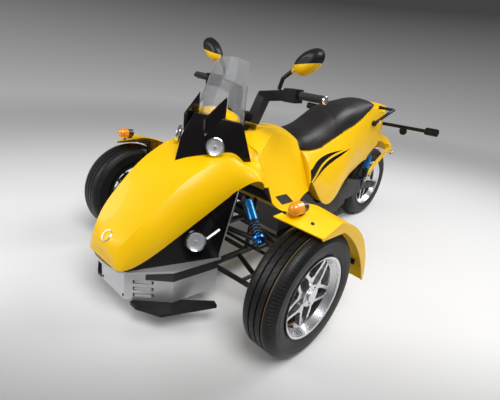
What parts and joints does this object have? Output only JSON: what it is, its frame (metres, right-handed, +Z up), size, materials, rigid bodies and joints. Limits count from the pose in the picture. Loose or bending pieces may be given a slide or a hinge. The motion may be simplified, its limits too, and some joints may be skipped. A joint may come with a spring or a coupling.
{
  "type": "three-wheel roadster motorcycle",
  "caption": "Roadster trike with steered front wheels under yellow mudguards, beak hood, black cowl with clear screen, stepped saddle and a driven rear wheel.",
  "frame": {"origin": "middle of the footprint box, on the ground", "axes": "+X forward, +Y to the rider's left, +Z up"},
  "size_m": [2.46, 1.412, 1.135],
  "materials": {
    "yellow_paint": "gloss",
    "gloss_black": "gloss",
    "black_plastic": "satin",
    "grey_plastic": "satin",
    "silver_paint": "satin",
    "alloy": "polished",
    "tyre_rubber": "matte",
    "grip_rubber": "matte",
    "seat_cover": "satin",
    "clear_screen": "gloss",
    "lamp_chrome": "polished",
    "mirror_silver": "polished",
    "frame_black": "satin",
    "blue_shock": "gloss",
    "amber_lens": "gloss",
    "red_lens": "gloss",
    "engine_metal": "matte",
    "exhaust_steel": "brushed",
    "bright_metal": "polished"
  },
  "bodies": {
    "chassis": {"frame_rails": "frame_black", "frame_crossbars": "frame_black", "front_frame": "frame_black", "swingarm_mount": "frame_black", "side_vents": "gloss_black", "side_ducts": "grey_plastic", "engine_block": "engine_metal", "hood": "yellow_paint", "lamp_panel": "gloss_black", "chin_ledge": "silver_paint", "bumper": "silver_paint", "skid_lip": "black_plastic", "cowl": "gloss_black", "headlamps": "lamp_chrome", "windscreen": "clear_screen", "centre_body": "yellow_paint", "tail_body": "yellow_paint", "seat": "seat_cover", "lower_fairing": "grey_plastic", "footboards": "black_plastic", "suspension_arms": "frame_black", "shock_bodies": "blue_shock", "springs": "frame_black", "swingarm": "frame_black", "rear_fender": "yellow_paint", "rear_indicators": "amber_lens", "tail_lamp": "red_lens", "rear_lamp_bar": "black_plastic", "grab_handles": "frame_black", "exhaust": "exhaust_steel", "steering_head": "black_plastic"},
    "handlebar": {"handlebar": "black_plastic", "grips": "grip_rubber", "brake_lever": "frame_black", "mirror_shells": "black_plastic", "mirror_glasses": "mirror_silver"},
    "knuckle_left": {"knuckle_left": "frame_black", "caliper_left": "yellow_paint", "front_fender_left": "yellow_paint", "front_indicator_left": "amber_lens"},
    "front_wheel_left": {"front_tyre_left": "tyre_rubber", "front_rim_left": "alloy"},
    "tie_rod_left": {"tie_rod_left": "frame_black"},
    "knuckle_right": {"knuckle_right": "frame_black", "caliper_right": "yellow_paint", "front_fender_right": "yellow_paint", "front_indicator_right": "amber_lens"},
    "front_wheel_right": {"front_tyre_right": "tyre_rubber", "front_rim_right": "alloy"},
    "tie_rod_right": {"tie_rod_right": "frame_black"},
    "rear_wheel": {"rear_tyre": "tyre_rubber", "rear_rim": "alloy"},
    "pitman": {"pitman": "frame_black"}
  },
  "joints": [
    {"name": "steering", "type": "hinge", "parent": "chassis", "child": "handlebar", "pos_m": [0.516, 0, 0.772], "axis": [-0.2588, 0, 0.9659], "range_deg": [-30, 30]},
    {"name": "pitman_turn", "type": "hinge", "parent": "chassis", "child": "pitman", "pos_m": [0.733, 0, 0.23], "axis": [0, 0, 1], "range_deg": [-30, 30]},
    {"name": "kingpin_left", "type": "hinge", "parent": "chassis", "child": "knuckle_left", "pos_m": [0.733, 0.52, 0.262], "axis": [0, 0, 1], "range_deg": [-30, 30]},
    {"name": "tie_rod_ball_left", "type": "hinge", "parent": "knuckle_left", "child": "tie_rod_left", "pos_m": [0.623, 0.52, 0.247], "axis": [0, 0, 1], "range_deg": [-30, 30]},
    {"name": "front_roll_left", "type": "hinge", "parent": "knuckle_left", "child": "front_wheel_left", "pos_m": [0.733, 0.625, 0.262], "axis": [0, 1, 0], "continuous": true},
    {"name": "kingpin_right", "type": "hinge", "parent": "chassis", "child": "knuckle_right", "pos_m": [0.733, -0.52, 0.262], "axis": [0, 0, 1], "range_deg": [-30, 30]},
    {"name": "tie_rod_ball_right", "type": "hinge", "parent": "knuckle_right", "child": "tie_rod_right", "pos_m": [0.623, -0.52, 0.225], "axis": [0, 0, 1], "range_deg": [-30, 30]},
    {"name": "front_roll_right", "type": "hinge", "parent": "knuckle_right", "child": "front_wheel_right", "pos_m": [0.733, -0.625, 0.262], "axis": [0, 1, 0], "continuous": true},
    {"name": "rear_roll", "type": "hinge", "parent": "chassis", "child": "rear_wheel", "pos_m": [-0.87, 0, 0.262], "axis": [0, 1, 0], "continuous": true}
  ],
  "couplings": [
    {"joint": "pitman_turn", "follows": "steering", "ratio": 1},
    {"joint": "kingpin_left", "follows": "steering", "ratio": 1},
    {"joint": "tie_rod_ball_left", "follows": "steering", "ratio": -1},
    {"joint": "kingpin_right", "follows": "steering", "ratio": 1},
    {"joint": "tie_rod_ball_right", "follows": "steering", "ratio": -1}
  ]
}
